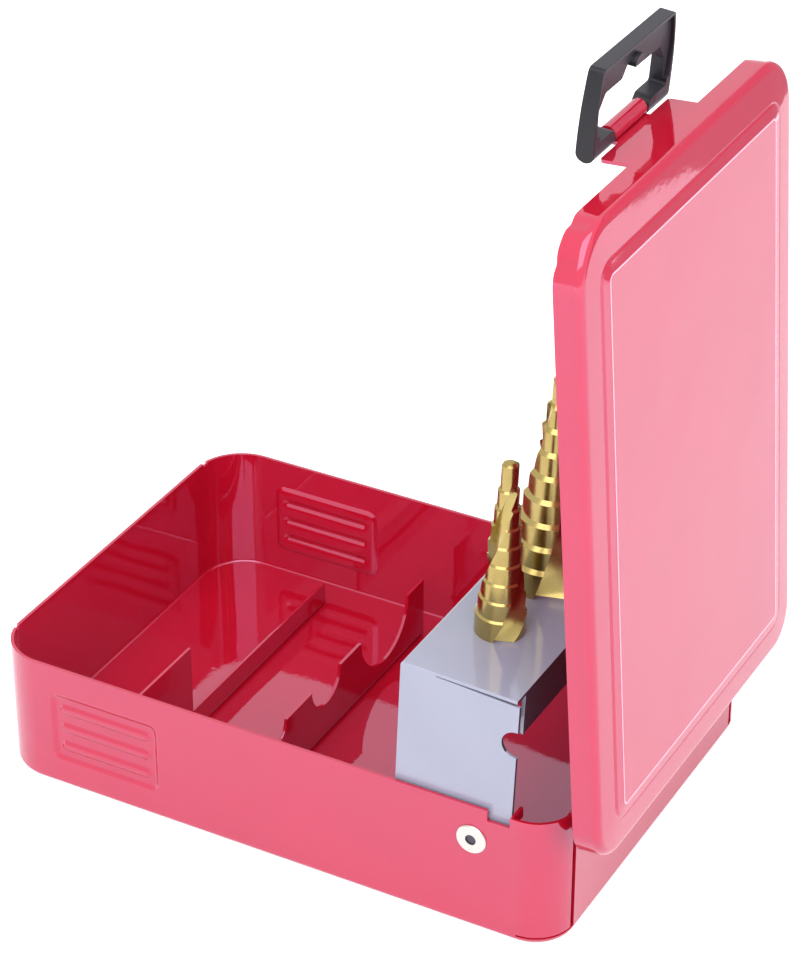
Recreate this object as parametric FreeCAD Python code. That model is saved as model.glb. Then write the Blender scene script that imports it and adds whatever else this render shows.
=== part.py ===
import FreeCAD, Part

import math
import os

# Sheet-steel index case for three step drills, shown open, all sizes in millimetres.
# The origin is the middle of the flat underside of the tray, +Z up.
# The hinge is at the +X end, the latch handle at the -X end, the user's right hand at -Y.

V = FreeCAD.Vector

# One overrun serves all cuts, and one slight distance tells like places apart.
overrun = 1.0
slight = 0.05

# Tray: one piece of painted sheet, its side walls wrapped round the corners.
tray_length = 155.0
tray_width = 110.0
tray_height = 35.0
sheet = 0.8
floor_fold_radius = 1.5
front_corner_radius = 13.0
hinge_corner_radius = 10.0
hinge_wrap_reach = 8.6
front_wrap_reach = 10.0
wrap_slit_width = 1.6
front_seam_depth_share = 0.5
front_seam_dip = 0.7
foot_slit_height = 0.5

# Pressed grip panels in both side walls, each with three ribs.
grip_start = 17.0
grip_length = 31.0
grip_bottom = 7.5
grip_height = 20.0
grip_depth = 0.7
grip_slope = 0.8
grip_corner_radius = 2.5
rib_count = 3
rib_length = 26.4
rib_width = 3.4
rib_end_radius = 1.6
rib_slope = 1.0
rib_rise = 0.7
rib_pitch = 5.45

# Stop plate and cradle plate: bent sheet, spot-welded to the tray's floor.
stop_plate_x = 36.4
stop_plate_near_gap = 8.0
stop_plate_far_gap = 10.0
stop_high_length = 25.0
stop_high_top = 27.0
stop_low_top = 7.7
stop_foot_length = 31.0
cradle_plate_x = 66.3
cradle_top = 18.0
cradle_near_gap = 10.0
cradle_far_gap = 10.0
cradle_foot_length = 22.0
plate_fold_radius = 1.4
weld_dot_radius = 1.4
weld_dot_depth = 0.25
weld_dot_spacing = 10.0
weld_dot_inset = 3.6

# Hinge: rolled knuckles on tray and lid, interleaved on one pin.
pin_radius = 1.25
pin_clearance = 0.05
hinge_drop = 5.8
knuckle_count = 5
knuckle_gap = 0.4
knuckle_relief = 0.3
curl_gap_angle = 40.0
tray_seam_angle = -60.0
lid_seam_angle = 60.0
hinge_side_gap = 0.5

# Lid: a shallow pan with a raised panel, a tab and a rolled eye at its front.
lid_depth = 7.0
rim_gap = 0.4
lid_front_overhang = 2.4
lid_fold_radius = 2.0
lid_lean = 3.74
panel_rise = 0.45
panel_side_inset = 7.65
panel_hinge_inset = 7.8
panel_front_inset = 9.0
panel_slope_width = 4.1
panel_front_radius = 6.0
panel_hinge_radius = 2.5
tab_width = 35.0
tab_reach = 7.0
tab_fillet = 1.5
tab_corner_radius = 1.0
eye_width = 16.0
eye_drop = 2.7
eye_peg_radius = 1.3
eye_gap_angle = 14.0
eye_seam_angle = 52.0

# Latch handle: one moulded piece, its two pegs snapped into the ends of the eye.
handle_length = 19.7
handle_bar_width = 36.2
handle_middle_flare = 1.3
handle_foot_flare = 0.7
handle_bar_thickness = 3.6
handle_foot_thickness = 4.4
handle_corner_radius = 1.4
handle_tilt = 5.0
peg_length = 3.5
peg_clearance = 0.05
boss_gap = 0.3
opening_foot = 2.4
opening_shoulder = 8.8
opening_corner_radius = 0.7
arm_foot_width = 1.9
arm_middle_width = 3.0
bar_corner_width = 4.5
bar_depth = 7.2
arch_half_share = 0.31
arch_top_half_share = 0.19
arch_rise = 2.8
web_recess = 0.9
web_rim = 0.8
web_foot = 4.0
nub_radius = 2.4
nub_drop = 0.9
nub_stand = 0.5

# Catch: a folded hook spot-welded to the outside of the tray's front wall.
catch_plate_width = 20.0
catch_plate_bottom = 16.6
catch_plate_top = 23.0
catch_sheet = 0.6
catch_hook_width = 6.4
catch_hook_gap = 0.4
catch_hook_radius = 1.0
catch_lip_reach = 1.3
catch_weld_spacing = 14.0
catch_weld_height = 21.5
catch_weld_radius = 1.3

# Drill holder: folded grey sheet that swings up about two tubular rivets.
pivot_x = 133.2
pivot_height = 25.7
holder_sheet = 0.9
holder_fold_radius = 1.2
holder_reach = 41.5
holder_back_drop = 21.2
holder_edge_rise = 9.05
holder_plate_edge_set = 0.6
holder_back_length = 16.0
holder_lip_depth = 11.8
holder_lip_inset = 4.1
holder_tail = 10.5
holder_tail_width = 6.0
holder_side_gap = 0.7
holder_swing = 92.5
holder_notch_radius = 3.55
holder_notch_place = 29.2
holder_notch_depth = 3.9
holder_slit_start_share = 0.3
holder_slit_min = 0.2
holder_slit_max = 0.8
washer_thickness = 0.6
washer_radius = 4.5
rivet_tube_radius = 2.0
rivet_bore_radius = 1.35
rivet_head_radius = 3.85
rivet_head_thickness = 0.6
rivet_roll_radius = 3.1
rivet_roll_thickness = 0.6
rivet_clearance = 0.05
rivet_play = 0.1
stop_tab_length = 4.5
stop_tab_height = 2.8
stop_notch_length = 5.8
stop_play = 0.4

# Step drills: places across the case, then each drill's own sizes.
drill_axis_drop = 7.7
shank_clearance = 0.1
shoulder_gap = 0.05
small_drill_y = 24.2
medium_drill_y = 48.6
large_drill_y = 79.0

small_tip_radius = 2.0
small_step_rise = 0.5
small_steps = 9
small_length = 45.9
small_base_length = 5.2
small_shank_radius = 3.0
small_shank_length = 19.5
small_notch_radius = 4.7
small_helix_angle = 19.9
small_phase = -78.0

medium_tip_radius = 2.0
medium_step_rise = 1.0
medium_steps = 9
medium_length = 55.3
medium_base_length = 6.7
medium_shank_radius = 4.0
medium_shank_length = 21.0
medium_notch_radius = 7.3
medium_helix_angle = 13.8
medium_phase = -82.0

large_tip_radius = 2.0
large_step_rise = 1.0
large_steps = 14
large_length = 77.3
large_base_length = 6.5
large_shank_radius = 5.0
large_shank_length = 24.0
large_notch_radius = 12.6
large_helix_angle = 13.8
large_phase = -82.0

tip_section_length = 7.8
tip_point_share = 0.6
flute_count = 2
flute_core_shares = [0.88, 0.66, 0.58, 0.56, 0.56, 0.56, 0.57, 0.61, 0.68, 0.76, 0.82]
flute_open_angle = 100.0
step_chamfer_share = 0.9
shank_flat_count = 3
shank_flat_share = 0.9
shank_flat_length_share = 0.7
shank_end_chamfer = 0.5

# Places worked out from the sizes above.
front_x = -tray_length / 2
hinge_end_x = tray_length / 2
right_y = -tray_width / 2
left_y = tray_width / 2
knuckle_inner_radius = pin_radius + pin_clearance
knuckle_radius = knuckle_inner_radius + sheet
hinge_x = hinge_end_x - knuckle_radius
hinge_z = tray_height - hinge_drop
hinge_wall_top = hinge_z - knuckle_radius - knuckle_relief
hinge_start_y = right_y + hinge_wrap_reach + wrap_slit_width
hinge_end_y = -hinge_start_y
lid_edge_z = tray_height + rim_gap
lid_face_z = lid_edge_z + lid_depth
lid_front_x = front_x - lid_front_overhang
lid_open_angle = 90 - lid_lean
eye_radius = eye_peg_radius + sheet
eye_x = lid_front_x + sheet - eye_radius
tab_end_z = lid_edge_z - tab_reach
eye_z = tab_end_z - eye_drop
pivot_place = V(front_x + pivot_x, 0, pivot_height)
holder_face_x = pivot_place.x - holder_reach
holder_bottom_z = pivot_height - holder_back_drop
holder_edge_z = pivot_height + holder_edge_rise
holder_right_y = right_y + sheet + holder_side_gap
holder_left_y = -holder_right_y
drill_axis_z = pivot_height - drill_axis_drop
handle_fold_out = 180 - lid_open_angle + handle_tilt
arch_top = handle_length - bar_depth + arch_rise
nub_low = arch_top - nub_drop


def box(x0, x1, y0, y1, z0, z1):
    return Part.makeBox(x1 - x0, y1 - y0, z1 - z0, V(x0, y0, z0))


def rod_along_y(x, z, radius, y0, y1):
    return Part.makeCylinder(radius, y1 - y0, V(x, y0, z), V(0, 1, 0))


def rod_along_z(x, y, radius, z0, z1):
    return Part.makeCylinder(radius, z1 - z0, V(x, y, z0), V(0, 0, 1))


def prism(points, direction):
    """A straight-sided solid on a closed outline."""
    outline = Part.makePolygon(points + [points[0]])
    return Part.Face(outline).extrude(direction)


def upright_edges(shape, x, y, tolerance):
    """The vertical edges of a shape that stand at one place in plan."""
    found = []
    for edge in shape.Edges:
        tops = [v.Point for v in edge.Vertexes]
        if len(tops) == 2 and max(math.hypot(p.x - x, p.y - y) for p in tops) < tolerance:
            found.append(edge)
    return found


def rounded_slab(x0, x1, y0, y1, z0, z1, low_x_radius, high_x_radius):
    """A slab with rounded corners in plan, one radius for each end."""
    slab = box(x0, x1, y0, y1, z0, z1)
    for x, radius in ((x0, low_x_radius), (x1, high_x_radius)):
        for y in (y0, y1):
            slab = slab.makeFillet(radius, upright_edges(slab, x, y, sheet))
    return slab


def level_edges(shape, z):
    return [e for e in shape.Edges if all(abs(v.Point.z - z) < slight for v in e.Vertexes)]


def pan(x0, x1, y0, y1, z_face, z_open, low_x_radius, high_x_radius, fold):
    """A pressed pan of one sheet thickness, its closed face at z_face."""
    up = 1 if z_open > z_face else -1
    outer = rounded_slab(x0, x1, y0, y1, min(z_face, z_open), max(z_face, z_open),
                         low_x_radius, high_x_radius)
    outer = outer.makeFillet(fold, level_edges(outer, z_face))
    inner_face = z_face + up * sheet
    inner_open = z_open + up * overrun
    inner = rounded_slab(x0 + sheet, x1 - sheet, y0 + sheet, y1 - sheet,
                         min(inner_face, inner_open), max(inner_face, inner_open),
                         low_x_radius - sheet, high_x_radius - sheet)
    inner = inner.makeChamfer(fold - sheet, level_edges(inner, inner_face))
    return outer.cut(inner)


def rounded_outline(width, height, radii, place):
    """A closed wire, width along X and height along Z, four corner radii, about a middle point."""
    w, h = width / 2, height / 2
    corners = [(-w, -h), (w, -h), (w, h), (-w, h)]
    turns = [(0, 1, 1, 0), (-1, 0, 0, 1), (0, -1, -1, 0), (1, 0, 0, -1)]
    edges = []
    ends = []
    for (cx, cz), (ax, az, bx, bz), r in zip(corners, turns, radii):
        start = V(cx + ax * r, 0, cz + az * r)
        end = V(cx + bx * r, 0, cz + bz * r)
        middle = V(cx + (ax + bx) * r, 0, cz + (az + bz) * r)
        bulge = middle + V(cx - middle.x, 0, cz - middle.z).normalize() * r
        ends.append((start, bulge, end))
    for i, (start, bulge, end) in enumerate(ends):
        edges.append(Part.Arc(start, bulge, end).toShape())
        edges.append(Part.LineSegment(end, ends[(i + 1) % len(ends)][0]).toShape())
    wire = Part.Wire(edges)
    wire.translate(place)
    return wire


def pressed_frustum(width, height, radii, slope, rise, base_middle, direction):
    """The solid between a rounded outline and the smaller one that a press leaves above it."""
    base = rounded_outline(width, height, radii, V(0, 0, 0))
    small = [max(r - slope, r / 3) for r in radii]
    top = rounded_outline(width - 2 * slope, height - 2 * slope, small, V(0, rise, 0))
    solid = Part.makeLoft([base, top], True, True)
    if direction == "-y":
        solid.rotate(V(0, 0, 0), V(0, 0, 1), 180)
    if direction == "+z":
        solid.rotate(V(0, 0, 0), V(1, 0, 0), 90)
    solid.translate(base_middle)
    return solid


def both_sides(shape):
    """A shape with its mirror image on the other side of the case."""
    return [shape, shape.mirror(V(0, 0, 0), V(0, 1, 0))]


def bent_strip(points_xz, radius, thickness, y0, y1):
    """Sheet of one thickness along a path in the XZ plane, its bends rounded on the path's side."""
    edges = []
    start = points_xz[0]
    for i in range(1, len(points_xz) - 1):
        corner = V(points_xz[i][0], 0, points_xz[i][1])
        before = (V(points_xz[i - 1][0], 0, points_xz[i - 1][1]) - corner).normalize()
        after = (V(points_xz[i + 1][0], 0, points_xz[i + 1][1]) - corner).normalize()
        half_turn = before.getAngle(after) / 2
        along = radius / math.tan(half_turn)
        into = (before + after).normalize()
        middle = corner + into * (radius / math.sin(half_turn) - radius)
        p0 = corner + before * along
        p1 = corner + after * along
        edges.append(Part.LineSegment(V(start[0], 0, start[1]), p0).toShape())
        edges.append(Part.Arc(p0, middle, p1).toShape())
        start = (p1.x, p1.z)
    last = V(points_xz[-1][0], 0, points_xz[-1][1])
    edges.append(Part.LineSegment(V(start[0], 0, start[1]), last).toShape())
    path = Part.Wire(edges)
    band = path.extrude(V(0, y1 - y0, 0))
    band.translate(V(0, y0, 0))
    return band.makeOffsetShape(thickness, thickness / 100, fill=True)


# Hinge: where each knuckle starts and ends, the tray's at even places and both ends.
def knuckle_spans():
    pitch = (hinge_end_y - hinge_start_y) / knuckle_count
    spans = []
    for i in range(knuckle_count):
        y0 = hinge_start_y + i * pitch
        spans.append((y0 + knuckle_gap / 2, y0 + pitch - knuckle_gap / 2))
    return spans


def rolled_barrel(x, z, inner, outer, y0, y1, seam_angle, gap_angle):
    """A rolled tube of sheet with an open seam, the seam's angle taken from +X towards +Z."""
    barrel = rod_along_y(x, z, outer, y0, y1).cut(rod_along_y(x, z, inner, y0 - overrun, y1 + overrun))
    reach = outer + overrun
    low = math.radians(seam_angle - gap_angle / 2)
    high = math.radians(seam_angle + gap_angle / 2)
    points = [V(x, y0 - overrun, z),
              V(x + reach * math.cos(low), y0 - overrun, z + reach * math.sin(low)),
              V(x + reach * math.cos(high), y0 - overrun, z + reach * math.sin(high))]
    return barrel.cut(prism(points, V(0, y1 - y0 + 2 * overrun, 0)))


def grip_panels(tray):
    """Press the panel inwards in both side walls, and its ribs back outwards."""
    middle_x = front_x + grip_start + grip_length / 2
    middle_z = grip_bottom + grip_height / 2
    radii = [grip_corner_radius] * 4
    wide = [grip_corner_radius - sheet / 2] * 4
    pushed = pressed_frustum(grip_length, grip_height, radii, grip_slope, grip_depth,
                             V(middle_x, right_y + sheet, middle_z), "+y")
    hollow = pressed_frustum(grip_length, grip_height, wide, grip_slope, grip_depth,
                             V(middle_x, right_y, middle_z), "+y")
    for shape in both_sides(pushed):
        tray = tray.fuse(shape)
    for shape in both_sides(hollow):
        tray = tray.cut(shape)
    # The ribs rise outwards from the panel, and leave grooves of the same form inside.
    ends = [rib_end_radius] * 4
    inner_ends = [rib_end_radius - sheet / 4] * 4
    inside = right_y + grip_depth + sheet
    for i in range(rib_count):
        z = middle_z + (i - (rib_count - 1) / 2) * rib_pitch
        rib = pressed_frustum(rib_length, rib_width, ends, rib_slope, rib_rise,
                              V(middle_x, right_y + grip_depth, z), "-y")
        root = box(middle_x - rib_length / 2 + rib_end_radius, middle_x + rib_length / 2 - rib_end_radius,
                   right_y + grip_depth, right_y + grip_depth + sheet / 2,
                   z - rib_width / 4, z + rib_width / 4)
        groove = pressed_frustum(rib_length - sheet / 2, rib_width - sheet / 2, inner_ends, rib_slope,
                                 rib_rise, V(middle_x, inside, z), "-y")
        for shape in both_sides(rib.fuse(root)):
            tray = tray.fuse(shape)
        for shape in both_sides(groove):
            tray = tray.cut(shape)
    return tray


def wrapped_corners(tray):
    """Seams where each side wall, bent round the corner, ends beside the end wall."""
    # At the front the seam is a groove on the outside, with a dip in the top edge.
    y0 = right_y + front_wrap_reach
    y1 = y0 + wrap_slit_width
    groove = box(front_x - overrun, front_x + front_seam_depth_share * sheet, y0, y1,
                 floor_fold_radius, tray_height + overrun)
    dip = box(front_x - overrun, front_x + 2 * sheet, y0, y1, tray_height - front_seam_dip,
              tray_height + overrun)
    # At the hinge it is an open slit, and a short one runs on below the bent end.
    y0 = right_y + hinge_wrap_reach
    y1 = y0 + wrap_slit_width
    slit = box(hinge_end_x - 2 * sheet, hinge_end_x + overrun, y0, y1, floor_fold_radius,
               tray_height + overrun)
    foot = box(hinge_end_x - hinge_corner_radius, hinge_end_x + overrun, right_y - overrun, y1,
               floor_fold_radius, floor_fold_radius + foot_slit_height)
    for cutter in (groove, dip, slit, foot):
        for shape in both_sides(cutter):
            tray = tray.cut(shape)
    return tray


def stop_face_x():
    """The face of the bent tab that the raised holder leans on."""
    lean = math.radians(holder_swing - 90)
    rise = tray_height - pivot_height
    return pivot_place.x + (holder_edge_rise + rise * math.sin(lean)) / math.cos(lean) + stop_play


def make_tray():
    tray = pan(front_x, hinge_end_x, right_y, left_y, 0, tray_height,
               front_corner_radius, hinge_corner_radius, floor_fold_radius)
    tray = grip_panels(tray)
    tray = wrapped_corners(tray)
    # The end wall is cut down between its slits, and three knuckles rise from it.
    tray = tray.cut(box(hinge_end_x - 2 * sheet, hinge_end_x + overrun, hinge_start_y - sheet,
                        hinge_end_y + sheet, hinge_wall_top, tray_height + overrun))
    for y0, y1 in knuckle_spans()[::2]:
        riser = box(hinge_end_x - sheet, hinge_end_x, y0, y1, hinge_wall_top - sheet, hinge_z)
        barrel = rolled_barrel(hinge_x, hinge_z, knuckle_inner_radius, knuckle_radius, y0, y1,
                               tray_seam_angle, curl_gap_angle)
        tray = tray.fuse(riser).fuse(barrel)
    tray = tray.cut(rod_along_y(hinge_x, hinge_z, knuckle_inner_radius, right_y, left_y))
    # A tab is sheared from the top edge of each side wall and bent inwards as the holder's stop.
    face_x = stop_face_x()
    notch = box(face_x - stop_notch_length, face_x, right_y - overrun, right_y + sheet + overrun,
                tray_height - stop_tab_height, tray_height + overrun)
    tab = box(face_x, face_x + sheet, right_y + sheet / 2, right_y + sheet + stop_tab_length,
              tray_height - stop_tab_height, tray_height)
    for shape in both_sides(notch):
        tray = tray.cut(shape)
    for shape in both_sides(tab):
        tray = tray.fuse(shape)
    # Holes for the rivets, and the two small welds of the catch.
    hole = rod_along_y(pivot_place.x, pivot_height, rivet_tube_radius,
                       right_y - overrun, right_y + sheet + overrun)
    for shape in both_sides(hole):
        tray = tray.cut(shape)
    for side in (-1, 1):
        dimple = Part.makeCylinder(catch_weld_radius, weld_dot_depth + overrun,
                                   V(front_x + sheet - weld_dot_depth, side * catch_weld_spacing / 2,
                                     catch_weld_height), V(1, 0, 0))
        tray = tray.cut(dimple)
    return tray.removeSplitter()


def foot_plate(x, foot, y0, y1, top, bend):
    """An upright of bent sheet on the tray's floor, its foot turned towards the front."""
    foot_part = box(x - foot, x, y0, y1, sheet, 2 * sheet)
    upright = box(x - sheet, x, y0, y1, sheet, top)
    plate = foot_part.fuse(upright).removeSplitter()
    inner = [e for e in plate.Edges
             if all(abs(v.Point.x - x + sheet) < slight and abs(v.Point.z - 2 * sheet) < slight
                    for v in e.Vertexes)]
    plate = plate.makeFillet(bend - sheet, inner)
    outer = [e for e in plate.Edges
             if all(abs(v.Point.x - x) < slight and abs(v.Point.z - sheet) < slight
                    for v in e.Vertexes)]
    return plate.makeFillet(bend, outer)


def weld_dots(plate, x, y_middle):
    for side in (-1, 1):
        plate = plate.cut(rod_along_z(x, y_middle + side * weld_dot_spacing / 2, weld_dot_radius,
                                      2 * sheet - weld_dot_depth, 2 * sheet + overrun))
    return plate


def make_stop_plate():
    """The plate that the drills' tips meet: high for the short drill, low beyond it."""
    x = front_x + stop_plate_x
    y0 = right_y + stop_plate_near_gap
    y1 = left_y - stop_plate_far_gap
    foot = stop_foot_length
    plate = foot_plate(x, foot, y0, y1, stop_high_top, plate_fold_radius)
    low = box(x - 2 * sheet, x + overrun, y0 + stop_high_length, y1 + overrun,
              stop_low_top, stop_high_top + overrun)
    plate = plate.cut(low)
    middle = (y0 + y1) / 2
    return weld_dots(plate, x - foot + weld_dot_inset, middle)


def drills():
    """Each drill's sizes, from the smallest to the largest."""
    small = dict(y=right_y + small_drill_y, tip=small_tip_radius, rise=small_step_rise,
                 steps=small_steps, length=small_length, base=small_base_length,
                 shank=small_shank_radius, shank_length=small_shank_length,
                 notch=small_notch_radius, helix=small_helix_angle, phase=small_phase)
    medium = dict(y=right_y + medium_drill_y, tip=medium_tip_radius, rise=medium_step_rise,
                  steps=medium_steps, length=medium_length, base=medium_base_length,
                  shank=medium_shank_radius, shank_length=medium_shank_length,
                  notch=medium_notch_radius, helix=medium_helix_angle, phase=medium_phase)
    large = dict(y=right_y + large_drill_y, tip=large_tip_radius, rise=large_step_rise,
                 steps=large_steps, length=large_length, base=large_base_length,
                 shank=large_shank_radius, shank_length=large_shank_length,
                 notch=large_notch_radius, helix=large_helix_angle, phase=large_phase)
    return {"drill_small": small, "drill_medium": medium, "drill_large": large}


def make_cradle_plate():
    """The plate whose round notches hold the three drills apart when the case is shut."""
    x = front_x + cradle_plate_x
    y0 = right_y + cradle_near_gap
    y1 = left_y - cradle_far_gap
    plate = foot_plate(x, cradle_foot_length, y0, y1, cradle_top, plate_fold_radius)
    for drill in drills().values():
        hole = Part.makeCylinder(drill["notch"], 2 * sheet + overrun,
                                 V(x - 2 * sheet, drill["y"], drill_axis_z), V(1, 0, 0))
        plate = plate.cut(hole)
    middle = (y0 + y1) / 2
    return weld_dots(plate, x - cradle_foot_length + weld_dot_inset, middle)


def make_holder():
    """Made level, as it lies in the shut case: its drill plate faces the front."""
    x0 = holder_face_x
    x_tail = pivot_place.x + holder_tail
    t = holder_sheet
    face_edge_z = holder_edge_z - holder_plate_edge_set
    back = box(x0, x0 + holder_back_length, holder_right_y, holder_left_y, holder_bottom_z,
               holder_bottom_z + t)
    face = box(x0, x0 + t, holder_right_y, holder_left_y, holder_bottom_z, face_edge_z)
    lip = box(x0, x0 + holder_lip_depth, holder_right_y + holder_lip_inset,
              holder_left_y - holder_lip_inset, face_edge_z - t, face_edge_z)
    # The flange: straight edges, a round end about the pivot and a slope down to its tail.
    tail_top = holder_bottom_z + holder_tail_width
    from_pivot = V(x_tail - pivot_place.x, 0, tail_top - pivot_height)
    reach = from_pivot.Length
    swing = math.atan2(from_pivot.z, from_pivot.x) + math.acos(holder_edge_rise / reach)
    touch = V(pivot_place.x + holder_edge_rise * math.cos(swing), 0,
              pivot_height + holder_edge_rise * math.sin(swing))
    half = (math.radians(90) + swing) / 2
    crown = V(pivot_place.x + holder_edge_rise * math.cos(half), 0,
              pivot_height + holder_edge_rise * math.sin(half))
    a = V(x0, 0, holder_bottom_z)
    b = V(x_tail, 0, holder_bottom_z)
    c = V(x_tail, 0, tail_top)
    d = V(pivot_place.x, 0, holder_edge_z)
    e = V(x0, 0, holder_edge_z)
    outline = Part.Wire([Part.LineSegment(a, b).toShape(), Part.LineSegment(b, c).toShape(),
                         Part.LineSegment(c, touch).toShape(),
                         Part.Arc(touch, crown, d).toShape(),
                         Part.LineSegment(d, e).toShape(), Part.LineSegment(e, a).toShape()])
    flange = Part.Face(outline).extrude(V(0, t, 0))
    # A slit parts the flange from the drill plate, wider towards the open edge.
    slit_z = holder_bottom_z + holder_slit_start_share * (holder_edge_z - holder_bottom_z)
    slit = prism([V(x0 + t, -overrun, slit_z), V(x0 + t + holder_slit_min, -overrun, slit_z),
                  V(x0 + t + holder_slit_max, -overrun, holder_edge_z + overrun),
                  V(x0 + t, -overrun, holder_edge_z + overrun)], V(0, t + 2 * overrun, 0))
    over = box(x0 - overrun, x0 + t, -overrun, t + overrun, slit_z, holder_edge_z + overrun)
    notch_x = pivot_place.x - holder_notch_place
    notch_z = holder_edge_z - holder_notch_depth + holder_notch_radius
    notch = rod_along_y(notch_x, notch_z, holder_notch_radius, -overrun, t + overrun)
    notch = notch.fuse(box(notch_x - holder_notch_radius, notch_x + holder_notch_radius,
                           -overrun, t + overrun, notch_z, holder_edge_z + overrun))
    flange = flange.cut(slit).cut(over).cut(notch)
    bore = rod_along_y(pivot_place.x, pivot_height, rivet_tube_radius + rivet_clearance,
                       -overrun, t + overrun)
    flange = flange.cut(bore)
    flange.translate(V(0, holder_right_y, 0))
    holder = back.fuse(face).fuse(lip)
    for shape in both_sides(flange):
        holder = holder.fuse(shape)
    holder = holder.removeSplitter()
    fold = [edge for edge in holder.Edges
            if all(abs(v.Point.x - x0) < slight and abs(v.Point.z - holder_bottom_z) < slight
                   for v in edge.Vertexes)]
    holder = holder.makeFillet(holder_fold_radius, fold)
    for drill in drills().values():
        hole = Part.makeCylinder(drill["shank"] + shank_clearance, t + 2 * overrun,
                                 V(x0 - overrun, drill["y"], drill_axis_z), V(1, 0, 0))
        holder = holder.cut(hole)
    return holder


def step_profile(drill):
    """Half section of a stepped drill on the XZ plane, point up, shoulder at zero."""
    radius = drill["tip"]
    between = drill["length"] - drill["base"] - tip_section_length
    step = between / (drill["steps"] - 2)
    chamfer = drill["rise"] * step_chamfer_share
    top = drill["length"]
    points = [(0, top), (radius, top - radius * tip_point_share)]
    z = top - tip_section_length + chamfer
    for i in range(drill["steps"] - 1):
        points.append((radius, z))
        radius += drill["rise"]
        points.append((radius, z - chamfer))
        z -= step
    points.append((radius, 0))
    points.append((drill["shank"], 0))
    points.append((drill["shank"], -drill["shank_length"] + shank_end_chamfer))
    points.append((drill["shank"] - shank_end_chamfer, -drill["shank_length"]))
    points.append((0, -drill["shank_length"]))
    return [V(r, 0, h) for r, h in points]


def flute_turn(drill, base_radius, z):
    """How far a flute has turned at a height, its helix angle the same all along the cone."""
    narrowing = (base_radius - drill["tip"]) / drill["length"]
    radius = base_radius - narrowing * z
    turn = math.tan(math.radians(drill["helix"])) * math.log(base_radius / radius) / narrowing
    return math.degrees(turn)


def flute_cutter(drill):
    """A V-shaped groove in a right-hand turn, shallow where it runs out at the shoulder."""
    base_radius = drill["tip"] + drill["rise"] * (drill["steps"] - 1)
    reach = base_radius + overrun
    wires = []
    for i, core_share in enumerate(flute_core_shares):
        share = i / (len(flute_core_shares) - 1)
        z = -overrun + share * (drill["length"] + 2 * overrun)
        core = core_share * (base_radius + (drill["tip"] - base_radius) * share)
        # The cutting face is radial, the back of the groove runs across it.
        back = math.radians(flute_open_angle)
        wire = Part.makePolygon([V(core, 0, z), V(core + reach, 0, z),
                                 V(core + reach * math.cos(back), reach * math.sin(back), z),
                                 V(core, 0, z)])
        wire.rotate(V(0, 0, 0), V(0, 0, 1), flute_turn(drill, base_radius, z))
        wires.append(wire)
    return Part.makeLoft(wires, True, False)


def make_drill(drill):
    outline = step_profile(drill)
    body = Part.Face(Part.makePolygon(outline + [outline[0]])).revolve(V(0, 0, 0), V(0, 0, 1), 360)
    cutter = flute_cutter(drill)
    for i in range(flute_count):
        flute = cutter.copy()
        flute.rotate(V(0, 0, 0), V(0, 0, 1), i * 360 / flute_count)
        body = body.cut(flute.common(box(-drill["length"], drill["length"], -drill["length"],
                                         drill["length"], 0, drill["length"] + overrun)))
    flat_length = drill["shank_length"] * shank_flat_length_share
    for i in range(shank_flat_count):
        flat = box(drill["shank"] * shank_flat_share, drill["shank"] + overrun, -drill["shank"],
                   drill["shank"], -drill["shank_length"] - overrun, flat_length - drill["shank_length"])
        flat.rotate(V(0, 0, 0), V(0, 0, 1), i * 360 / shank_flat_count)
        body = body.cut(flat)
    # Turned to its place in the holder, then laid level with its point to the front.
    body.rotate(V(0, 0, 0), V(0, 0, 1), drill["phase"])
    body.rotate(V(0, 0, 0), V(0, 1, 0), -90)
    body.translate(V(holder_face_x - shoulder_gap, drill["y"], drill_axis_z))
    return body


def swing_up(shape):
    """From lying in the shut case to the raised place that the photograph shows."""
    shape.rotate(pivot_place, V(0, 1, 0), holder_swing)
    return shape


def make_rivet():
    """A tubular rivet of the right side wall: outer head, tube and rolled inner end."""
    y_wall = right_y
    y_flange = holder_right_y + holder_sheet
    y_roll = y_flange + rivet_play
    dome = rivet_head_thickness / 2
    points = [V(rivet_bore_radius, y_wall - rivet_head_thickness, 0),
              V(rivet_head_radius - dome, y_wall - rivet_head_thickness, 0),
              V(rivet_head_radius, y_wall - dome, 0),
              V(rivet_head_radius, y_wall, 0),
              V(rivet_tube_radius, y_wall, 0),
              V(rivet_tube_radius, y_roll, 0),
              V(rivet_roll_radius, y_roll, 0),
              V(rivet_roll_radius, y_roll + rivet_roll_thickness / 2, 0),
              V(rivet_roll_radius - dome, y_roll + rivet_roll_thickness, 0),
              V(rivet_bore_radius, y_roll + rivet_roll_thickness, 0)]
    rivet = Part.Face(Part.makePolygon(points + [points[0]])).revolve(V(0, 0, 0), V(0, 1, 0), 360)
    rivet.translate(pivot_place)
    return rivet


def make_washer():
    gap = (holder_side_gap - washer_thickness) / 2
    y0 = right_y + sheet + gap
    outer = rod_along_y(pivot_place.x, pivot_height, washer_radius, y0, y0 + washer_thickness)
    inner = rod_along_y(pivot_place.x, pivot_height, rivet_tube_radius + rivet_clearance,
                        y0 - overrun, y0 + washer_thickness + overrun)
    return outer.cut(inner)


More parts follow.
